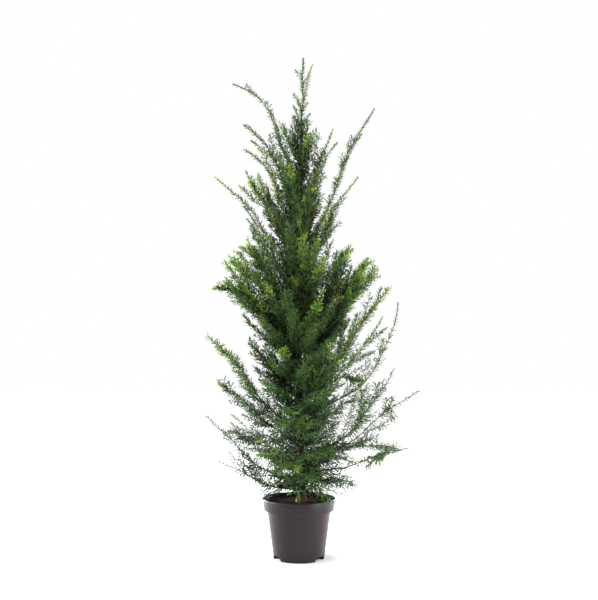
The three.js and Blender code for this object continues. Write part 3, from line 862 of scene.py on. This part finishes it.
# Shoots with a place of their own: the limb or the trunk that each grows on, how far along (on
# the trunk the height), the spot that its tip reaches, and its kind where it isn't plain. A
# fresh one ends in this year's growth, and a slender one has no side twigs. They are listed
# by the parts of the crown that they belong to.
placed_shoots = [
    # crown
    ("leader", 0.40, (42, -5, 1547), "fresh"),
    ("leader", 0.72, (-11, 5, 1531)),
    ("leader", 0.28, (-18, -8, 1456)),
    ("leader", 0.02, (-17, 10, 1420)),
    ("leader", 0.01, (-21, -14, 1386)),
    ("leader", 0.03, (24, -12, 1374)),
    ("leader", 0.22, (-2, -16, 1432)),
    ("leader", 0.26, (25, 8, 1428)),
    ("leader", 0.55, (20, 8, 1503)),
    ("leader", 0.08, (34, -10, 1392)),
    ("trunk", 1230, (-50, -52, 1350)),
    ("trunk", 1215, (-24, -40, 1352), "slender"),
    ("trunk", 1190, (-10, -50, 1318)),
    ("trunk", 1180, (36, -52, 1322), "fresh"),
    ("trunk", 1200, (4, -40, 1366)),
    ("trunk", 1225, (26, 24, 1374)),
    ("trunk", 1240, (-8, 30, 1380)),
    ("trunk", 1160, (28, -66, 1306), "fresh"),
    ("arch_left", 0.36, (-84, -30, 1388), "slender"),
    ("arch_left", 0.30, (-72, 10, 1360), "slender"),
    ("arch_left", 0.80, (-164, -12, 1484), "slender"),
    ("trunk", 1120, (-62, -70, 1262)),
    ("trunk", 1060, (-30, -116, 1220), "fresh"),
    ("spire_right", 0.50, (118, -50, 1297), "slender"),
    # upper
    ("spire_left", 0.82, (-170, -60, 1350), "slender"),
    ("crook_left", 0.80, (-174, 60, 1290), "slender"),
    ("trunk", 1020, (58, -96, 1190)),
    ("trunk", 985, (-12, -128, 1128)),
    ("trunk", 930, (-78, -104, 1092)),
    ("trunk", 905, (84, -112, 1078), "fresh"),
    ("trunk", 860, (-30, -150, 1040)),
    ("spire_left", 0.60, (-148, -40, 1304), "slender"),
    ("whip_right", 0.62, (196, -10, 1330), "slender"),
    ("whip_right", 0.50, (156, 5, 1262), "slender"),
    ("trunk", 960, (-128, -60, 1196), "fresh"),
    ("trunk", 950, (-102, -40, 1166)),
    ("trunk", 890, (104, -46, 1072)),
    # chest
    ("plume_left", 0.50, (-174, 60, 1106), "slender"),
    ("plume_left", 0.40, (-164, 30, 1066), "slender"),
    ("trunk", 830, (-152, -40, 1034)),
    ("trunk", 800, (14, -180, 1006), "fresh"),
    ("trunk", 805, (54, -172, 990), "fresh"),
    ("trunk", 760, (24, -190, 946), "fresh"),
    ("trunk", 770, (74, -178, 936), "fresh"),
    ("lash_right", 0.35, (110, -60, 1096)),
    ("trunk", 770, (98, -70, 988)),
    # shoulder
    ("trunk", 740, (-96, -150, 905)),
    ("trunk", 690, (-98, -172, 860), "fresh"),
    ("trunk", 680, (-42, -190, 834)),
    ("trunk", 660, (58, -190, 810), "fresh"),
    ("fan_left_high", 0.45, (-184, -150, 956), "fresh"),
    ("fan_left_high", 0.50, (-134, -130, 966), "fresh"),
    ("fan_right_high", 0.50, (160, 90, 970), "fresh"),
    ("fan_right_high", 0.25, (122, 40, 964)),
    ("fan_right_high", 0.30, (138, 10, 946)),
    ("trunk", 700, (132, -40, 915)),
    ("trunk", 650, (-186, -60, 872), "fresh"),
    # fans
    ("fan_left_mid", 0.50, (-208, 50, 940), "fresh"),
    ("fan_left_mid", 0.45, (-228, 10, 922), "fresh"),
    ("fan_left_low", 0.50, (-224, -70, 872), "fresh"),
    ("fan_right_mid", 0.30, (164, -40, 914)),
    ("fan_right_mid", 0.28, (178, -70, 890), "fresh"),
    ("fan_right_mid", 0.45, (204, -60, 902), "fresh"),
    ("trunk", 600, (-150, -50, 812)),
    ("trunk", 590, (-128, -50, 716), "slender"),
    ("trunk", 590, (-172, -40, 764)),
    ("trunk", 640, (100, -160, 800)),
    ("trunk", 610, (-112, -150, 756)),
    ("trunk", 590, (46, -190, 738)),
    ("trunk", 610, (-16, -180, 776)),
    # middle
    ("fork_right", 0.60, (278, 30, 722), "slender"),
    ("fork_right", 0.46, (236, -20, 650), "slender"),
    ("crest_right", 0.16, (148, -70, 740)),
    ("crest_right", 0.24, (180, -90, 768)),
    ("crest_right", 0.78, (252, -110, 848), "slender"),
    ("trunk", 500, (112, -60, 600)),
    ("trunk", 560, (150, -50, 752)),
    ("trunk", 500, (-136, -60, 598)),
    ("trunk", 540, (-90, -60, 652)),
    ("trunk", 550, (88, -170, 690)),
    ("trunk", 520, (-84, -160, 634)),
    ("trunk", 560, (112, -140, 700)),
    ("trunk", 540, (-50, -176, 668), "fresh"),
    ("trunk", 500, (20, -196, 622)),
    ("fork_right", 0.35, (190, -30, 560)),
    # lower
    ("sprig_right", 0.68, (256, 40, 548)),
    ("trunk", 380, (-128, -60, 470)),
    ("hook_left", 0.36, (-178, -20, 572)),
    ("trunk", 410, (168, -70, 502)),
    ("trunk", 430, (146, 30, 548), "slender"),
    ("trunk", 430, (104, -90, 542)),
    ("trunk", 345, (124, -40, 424)),
    ("trunk", 440, (124, -10, 552)),
    ("trunk", 315, (62, -100, 362)),
    ("trunk", 288, (142, -80, 324)),
    ("trunk", 310, (152, -60, 350)),
    ("trunk", 296, (174, -40, 306)),
    ("twin_left", 0.50, (-214, -60, 404)),
    ("twin_left", 0.62, (-216, 110, 438), "slender"),
    ("twin_left", 0.42, (-194, -40, 376)),
    ("rake_left", 0.42, (-178, -30, 504)),
    ("rake_left", 0.32, (-150, -60, 488)),
    ("rake_left", 0.72, (-240, -60, 550), "fresh"),
    ("trunk", 470, (-124, -40, 564), "slender"),
    ("trunk", 300, (-92, 140, 350)),
    ("trunk", 292, (98, 140, 338)),
    ("trunk", 340, (-20, 180, 400)),
    ("trunk", 470, (-104, -150, 560)),
    ("trunk", 440, (74, -180, 545)),
    ("trunk", 400, (-30, -190, 486), "fresh"),
    ("trunk", 380, (-58, -175, 440), "fresh"),
    ("trunk", 380, (20, -180, 442), "fresh"),
    ("trunk", 380, (128, -120, 470)),
    ("trunk", 350, (60, -190, 410)),
    ("trunk", 330, (-120, -130, 400)),
    ("trunk", 300, (96, -160, 350), "fresh"),
    ("trunk", 285, (-60, -170, 318), "fresh"),
    ("rake_right", 0.28, (306, -90, 352)),
    ("rake_right", 0.72, (292, -40, 504)),
    ("sprig_right", 0.22, (168, -40, 474), "slender"),
    ("sprig_right", 0.30, (184, 60, 512), "slender"),
    ("sprig_right", 0.36, (212, -20, 536)),
    ("sprig_right", 0.42, (204, 90, 562)),
    ("rake_right", 0.76, (284, -60, 436), "fresh"),
    ("rake_right", 0.68, (274, -30, 502), "fresh"),
    ("rake_right", 0.20, (100, -60, 410)),
    # skirt
    ("skirt_left", 0.35, (-196, -60, 320)),
    ("skirt_left", 0.30, (-172, -30, 332)),
    ("trunk", 252, (-40, 150, 262)),
    ("trunk", 234, (52, 140, 238)),
    ("trunk", 272, (14, 170, 314)),
    ("trunk", 262, (30, -172, 268), "fresh"),
    ("trunk", 240, (-26, -150, 262)),
    ("trunk", 238, (172, -60, 234)),
    ("trunk", 206, (146, -30, 205), "slender"),
    ("trunk", 208, (-120, -52, 196), "slender"),
    ("trunk", 214, (-104, -30, 204), "slender"),
    ("trunk", 236, (-104, -60, 284)),
    ("skirt_left", 0.62, (-214, -60, 338), "slender"),
    ("trunk", 232, (-10, -120, 226), "fresh"),
    ("trunk", 226, (94, -80, 194), "fresh"),
    ("skirt_right", 0.60, (205, -110, 322)),
    ("skirt_right", 0.93, (206, -130, 304), "fresh"),
    ("skirt_right", 0.84, (236, -110, 326), "fresh"),
]


def crown_width(height):
    """About how far out the dense part of the crown reaches at a height, in mm."""
    heights = [200, 300, 480, 700, 860, 1000, 1240, 1400]
    return np.interp(height, heights, [70, 115, 170, 135, 195, 125, 120, 30])


def lowness(height):
    """1 in the lowest part of the crown, up to 300 mm, and 0 from 560 mm up."""
    return smooth((560 - height) / 260)


def pick_tone(deal, spot, mood):
    """A needle tone for a shoot: darker inside the crown, as painted shade, and bluer low down."""
    light = math.hypot(spot[0], spot[1]) / crown_width(spot[2]) + mood + deal.normal(0, 0.42)
    if deal.random() < 0.85 * smooth((620 - spot[2]) / 200):
        return BLUE_SHADE if light < 0.78 else (BLUE if light < 1.15 else GREY)
    return SHADE if light < 0.55 else (DEEP if light < 0.9 else (GREEN if light < 1.25 else LIGHT))


MAIN, SIDE, FINE = range(3)
crown_depth = 240


def needle_shoot(grove, line, level, low, tone, fresh_from=never):
    """One twig with its needles and its bud, unless it would stick out to front or back."""
    deal = grove.deal
    if abs(line.at(1.0)[1]) > crown_depth:
        return
    size = blend(18, 21.5, low) * deal.uniform(0.88, 1.06) * (0.88 if level == FINE else 1)
    droop = 0.3 * low + deal.uniform(0, 0.1)
    pitch, width = blend(3.1, 4.3, low), blend(3.4, 3.3, low)
    if fresh_from < 1:
        pitch *= 0.8
    grove.needles(line, 0.05, size, pitch, width, blend(0.55, 0.85, low), tone, fresh_from, droop)
    finish = FRESH_TWIG if fresh_from < 1 else PLAIN_TWIG
    if level == MAIN:
        grove.twig(line, 1.7, 0.6, PLAIN_TWIG, sides=4, rings=8, brown=3)
    elif level == SIDE:
        grove.twig(line, 1.05, 0.5, finish, sides=4, rings=5)
    else:
        grove.twig(line, 0.7, 0.42, finish)


def grow_side(grove, line, low, tone, fresh_from, longest):
    """Twigs on a side shoot, left and right in turn, shorter towards its tip."""
    deal = grove.deal
    spacing = blend(24, 16, low)
    count = int(line.length * 0.75 / spacing)
    for k in range(count):
        share = 0.14 + 0.7 * (k + deal.uniform(0, 0.5)) / count
        full = min(longest, 0.42 * line.length * (1.15 - share))
        if full > 11:
            side, roll = (1 if k % 2 else -1), 16 * (k % 3 - 1)
            twig = shoot_path(line, share, side, roll, blend(32, 42, low), full, 0.15)
            mixed = tone if deal.random() < 0.7 else int(brighter_than[tone])
            new = 0.35 if fresh_from < 1 and share > 0.6 else never
            needle_shoot(grove, twig, FINE, low, mixed, new)


def grow_limb(grove, number, name, path, bare, at):
    """All that grows on one limb. A bare share at its foot carries few needles and shoots."""
    deal = grove.deal
    kind = name if name in habits else name.split("_")[0]
    thick, until, longest, shortest, fresh_share = habits[kind]
    low = 0.3 if name == "hook_left" else lowness(at)
    mood = deal.normal(0, 0.08)
    hang = hanging.get(name, 30 * low)
    slender = kind in ("arch", "lash", "whip", "wand", "skirt", "plume_right")

    # The limb's own needles
    own = (OLIVE if until < 0.5 else GREEN) if low < 0.5 else BLUE
    fresh_from = 0.86 if fresh_share > 0.25 else never
    pitch = blend(1.6, 3.9 if kind in ("wand", "skirt") else 3.2, low)
    size = blend(15, 18, low)
    droop = 0.1 if kind in ("wand", "skirt") else 0.45 * low
    grove.needles(path, max(0.8 * bare, 0.12), size, pitch, 2.8, 0.5, own, fresh_from, droop)

    # Main shoots by the solids' rule
    stem_from = bare + 0.4 / path.length if bare else 0
    stem_length = path.length * (1 - stem_from)
    spacing = 44 if name.startswith("column") else 112
    wanted = min(4, max(2, round(path.length * (1 - bare) / spacing)))
    for k in range(wanted):
        run = random_run(100 * number + k + 1)
        place = blend(0.08, 0.74, (k + next(run) * 0.6) / wanted)
        full = 0.42 * stem_length * blend(1.15, 0.65, place) * blend(0.85, 1.15, next(run))
        full = min(118, max(62, full)) * (0.5 if place > until or slender else 1)
        roll = blend(-34, 34, next(run)) - (hang if name == "hook_left" else 0)
        leave = 46 * blend(0.85, 1.15, next(run)) * blend(0.7, 1, low)
        fresh = deal.random() < fresh_share
        nod = 0.8 if fresh else 0
        side = -1 if k % 2 else 1
        line = shoot_path(path, blend(stem_from, 1, place), side, roll, leave, full, 0.35, nod)
        tone = pick_tone(deal, line.at(0.7), mood)
        fresh_from = deal.uniform(0.6, 0.8) if fresh else never
        needle_shoot(grove, line, SIDE, low, tone, fresh_from)
        grow_side(grove, line, low, tone, fresh_from, 38)

    # Finer shoots between them
    count = int(path.length * (until - 0.06) * thick / 100)
    for k in range(count):
        share = 0.06 + (until - 0.06) * (k + deal.uniform(0, 0.8)) / count
        if share < 0.5 * bare:
            continue
        full = blend(longest, shortest, (share / until) ** 1.4) * deal.uniform(0.75, 1.15)
        leave = blend(deal.uniform(14, 32), deal.uniform(34, 56), low)
        fresh = share > 0.42 and deal.random() < fresh_share
        side, roll = (1 if k % 2 else -1), deal.uniform(-75, 75) - hang
        lift = blend(0.4, -0.22, low) * deal.uniform(0.5, 1.4)
        nod = deal.uniform(0.4, 1.1) if fresh else 0.35 * low
        line = shoot_path(path, share, side, roll, leave, full, lift, nod)
        tone = pick_tone(deal, line.at(0.7), mood)
        fresh_from = deal.uniform(0.55, 0.78) if fresh else never
        needle_shoot(grove, line, SIDE, low, tone, fresh_from)
        if full > 40:
            grow_side(grove, line, low, tone, fresh_from, 30)

    # A cluster of this year's growth round the tip
    if fresh_share > 0.42:
        for k in range(5 if kind == "fresh" else 9):
            side, roll = (1 if k % 2 else -1), deal.uniform(-80, 80)
            short = kind in ("crest", "hook", "fresh") or name in ("fan_left_low", "fan_right_mid")
            full = deal.uniform(26, 42) * (0.72 if short else 1)
            leave = deal.uniform(20, 42)
            line = shoot_path(path, 0.72 + 0.03 * k, side, roll, leave, full, 0.3, 0.9)
            needle_shoot(grove, line, SIDE, low, GREEN, deal.uniform(0.05, 0.3))


def grow_column(grove, low_end, high_end, count):
    """Shoots from the trunk that hide its bark, each a golden angle on from the last."""
    deal = grove.deal
    for k in range(count):
        at = blend(low_end, high_end, (k + 0.5) / count)
        low, upper = lowness(at), smooth((at - 480) / 700)
        bearing = golden_angle * k + deal.uniform(-15, 15)
        reach = blend(104, 34, upper**1.2) * deal.uniform(0.6, 1.2)
        rise = blend(blend(120, 100, upper), 34, low) * deal.uniform(0.6, 1.3) - 10 * low
        start = trunk_centre(at)
        end = start + heading(bearing, 0) * reach + up * rise
        middle = start + heading(bearing, 0) * reach * 0.6 + up * rise * blend(0.35, 0.75, low)
        line = Path(bezier(start, middle, end))
        # Shoots round the trunk take darker tones, lower down darker still, as painted shade.
        tone = pick_tone(deal, end, -0.18 - 0.17 * low)
        needle_shoot(grove, line, SIDE, low, tone)
        grow_side(grove, line, low, tone, never, 40)


def grow_placed(grove, limb, place, tip, kind="plain"):
    """A shoot drawn to its own place, from a limb or with None from the trunk, and its twigs."""
    deal = grove.deal
    start = limb.at(place) if limb else trunk_centre(place)
    along = limb.along(place) if limb else up
    low = lowness(start[2])
    tip = np.array(tip, float)
    span = np.linalg.norm(tip - start)
    out = unit((tip - start) * (1, 1, 0))
    slim = kind == "slender" or start[2] > 1300
    fresh = kind == "fresh"
    leave = unit(along * (4 if slim else blend(0.9, 0.35, low)) + out)
    arrive = unit((tip - start) / span + (0.2 * out if slim else up * blend(0.3, -0.35, low)))
    line = Path(bezier(start, start + 0.4 * span * leave, tip - 0.35 * span * arrive, tip))
    tone = LIGHT if fresh and low > 0.3 else pick_tone(deal, tip, 0.22)
    fresh_from = 0.76 if fresh and low <= 0.3 else never
    if slim:
        own = OLIVE if low < 0.5 else BLUE
        pitch, size = blend(1.6, 3.4, low), blend(14, 19, low)
        grove.needles(line, 0.03, size, pitch, 3.0, 0.1, own, fresh_from, 0.3 * low)
        grove.twig(line, 1.1, 0.6, FRESH_TWIG, sides=4, rings=5)
        return
    needle_shoot(grove, line, MAIN, low, tone, fresh_from)
    count = int(span / 13)
    for k in range(count):
        share = 0.15 + 0.8 * (k + deal.uniform(0, 0.6)) / count
        full = min(blend(62, 78, low), 0.45 * span) * (1.1 - share) + 14
        side, roll = (1 if k % 2 else -1), deal.uniform(-40, 40)
        leave = blend(deal.uniform(18, 32), deal.uniform(36, 54), low)
        twig = shoot_path(line, share, side, roll, leave, full, 0.2, 0.6 if fresh else 0.3 * low)
        new = deal.uniform(0.2, 0.6) if fresh_from < 1 and share > 0.66 else never
        mixed = tone if deal.random() < 0.75 else int(brighter_than[tone])
        needle_shoot(grove, twig, FINE, low, mixed, new)


# The parts of the crown, by the heights between which their limbs leave the trunk.
tiers = [
    ("skirt", 0, 275),
    ("lower", 275, 480),
    ("middle", 480, 575),
    ("fans", 575, 645),
    ("shoulder", 645, 745),
    ("chest", 745, 860),
    ("upper", 860, 1040),
    ("crown", 1040, 2000),
]
column_foot, column_top = 192, 1195
leaves_at = {"leader": trunk_top} | {row[0]: row[1] for row in limbs}
for tier_number, (tier, low_end, high_end) in enumerate(tiers):
    grove = Grove(seed=40 + tier_number)
    names = []
    for number, (name, at, *_, bare) in enumerate(limbs):
        if low_end <= at < high_end:
            grow_limb(grove, number, name, limb_paths[name], bare, at)
            names.append(f"foliage_{name}")
    for name, place, tip, *kind in placed_shoots:
        if low_end <= leaves_at.get(name, place) < high_end:
            grow_placed(grove, limb_paths.get(name), place, tip, *kind)
    if tier == "crown":
        grove.needles(limb_paths["leader"], 0.02, 15, 1.3, 3.0, 0.1, OLIVE)
        names.append("foliage_leader")
    bottom, ceiling = max(low_end, column_foot), min(high_end, column_top)
    spacing = blend(7.5, 4.4, lowness(bottom))
    grow_column(grove, bottom, ceiling, int((ceiling - bottom) / spacing))
    spots, corners, tone_of_face = grove.blades()
    needles = mesh_of(f"needles_{tier}", spots, corners, palette[:TWIG], tone_of_face)
    twigs = tubes_of(f"twigs_{tier}", grove.twigs, twig_finishes)
    for piece in (needles, twigs):
        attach(piece, "root")
        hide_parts(*names)


# ---- Floor, light and camera --------------------------------------------------------------
# A white sweep that glows of itself. Near the pot its glow dips, as a painted soft shadow. The key light
# stands high on the left, and wings on both sides light the crown and the pot's flanks.

bpy.ops.mesh.primitive_plane_add(size=14, location=(0, 0, 0))
floor = bpy.context.object
floor.name = "studio_floor"
white, shader, nodes, link = new_finish("white paper sweep", 0.9, 0.0)
shader.inputs["Base Color"].default_value = (0.6, 0.6, 0.6, 1)
shader.inputs["Emission Color"].default_value = (1, 1, 1, 1)
place = nodes.new("ShaderNodeTexCoord")
aside = nodes.new("ShaderNodeMapping")
aside.inputs["Location"].default_value = (-0.025, 0, 0)
link(place.outputs["Object"], aside.inputs["Vector"])
away = nodes.new("ShaderNodeVectorMath")
away.operation = "LENGTH"
link(aside.outputs["Vector"], away.inputs[0])
# The glow dips within about 0.15 m of a spot 25 mm right of the pot's axis, as a painted shadow.
glow_with_painted_shadow = nodes.new("ShaderNodeMapRange")
glow_with_painted_shadow.interpolation_type = "SMOOTHSTEP"
glow_with_painted_shadow.inputs["From Min"].default_value = 0.07
glow_with_painted_shadow.inputs["From Max"].default_value = 0.152
glow_with_painted_shadow.inputs["To Min"].default_value = 0.22
glow_with_painted_shadow.inputs["To Max"].default_value = 0.915
link(away.outputs["Value"], glow_with_painted_shadow.inputs["Value"])
share_shown = nodes.new("ShaderNodeMapRange")
share_shown.inputs["To Min"].default_value = 0.22
share_shown.inputs["To Max"].default_value = 1.0
link(nodes.new("ShaderNodeLightPath").outputs["Is Camera Ray"], share_shown.inputs["Value"])
shine = nodes.new("ShaderNodeMath")
shine.operation = "MULTIPLY"
link(glow_with_painted_shadow.outputs["Result"], shine.inputs[0])
link(share_shown.outputs["Result"], shine.inputs[1])
link(shine.outputs["Value"], shader.inputs["Emission Strength"])
floor.data.materials.append(white)

world = bpy.data.worlds.new("white studio")
bpy.context.scene.world = world
world.use_nodes = True
nodes, link = world.node_tree.nodes, world.node_tree.links.new
backdrop = nodes["Background"]
backdrop.inputs["Color"].default_value = (1, 1, 1, 1)
cast = nodes.new("ShaderNodeBackground")
cast.inputs["Color"].default_value = (1, 1, 1, 1)
cast.inputs["Strength"].default_value = 0.165
which = nodes.new("ShaderNodeMixShader")
link(nodes.new("ShaderNodeLightPath").outputs["Is Camera Ray"], which.inputs["Fac"])
link(cast.outputs["Background"], which.inputs[1])
link(backdrop.outputs["Background"], which.inputs[2])
link(which.outputs["Shader"], nodes["World Output"].inputs["Surface"])


def add_softbox(name, place, target, size, power):
    """A square soft lamp at a place, turned to its target."""
    lamp = bpy.data.lights.new(name, "AREA")
    lamp.shape = "SQUARE"
    lamp.size = size
    lamp.energy = power
    box = bpy.data.objects.new(name, lamp)
    bpy.context.collection.objects.link(box)
    box.location = place
    box.rotation_euler = (Vector(target) - Vector(place)).to_track_quat("-Z", "Y").to_euler()


add_softbox("key softbox", (-2.0, -2.6, 3.2), (0, 0, 0.8), 1.6, 70)
add_softbox("fill softbox", (2.4, -2.0, 1.8), (0, 0, 0.8), 1.8, 12)
add_softbox("left wing", (-2.2, 0.2, 0.9), (0, 0, 0.5), 1.5, 62)
add_softbox("right wing", (2.2, 0.2, 0.9), (0, 0, 0.5), 1.5, 40)
add_softbox("low softbox", (2.0, -1.1, 0.4), (0, 0, 0.1), 0.8, 27)
add_softbox("left rear wing", (-1.6, 1.5, 0.5), (0, 0, 0.15), 1.2, 75)
add_softbox("right rear wing", (1.6, 1.5, 0.5), (0, 0, 0.15), 1.2, 70)

bpy.context.scene.view_settings.view_transform = "Standard"
bpy.context.scene.view_settings.look = "None"

lens = bpy.data.cameras.new("camera")
lens.lens = 68.4
lens.sensor_width = 36
camera = bpy.data.objects.new("camera", lens)
bpy.context.collection.objects.link(camera)
camera.location = (0, -3.58, 0.81)
camera.rotation_euler = (math.radians(90), 0, 0)
bpy.context.scene.camera = camera
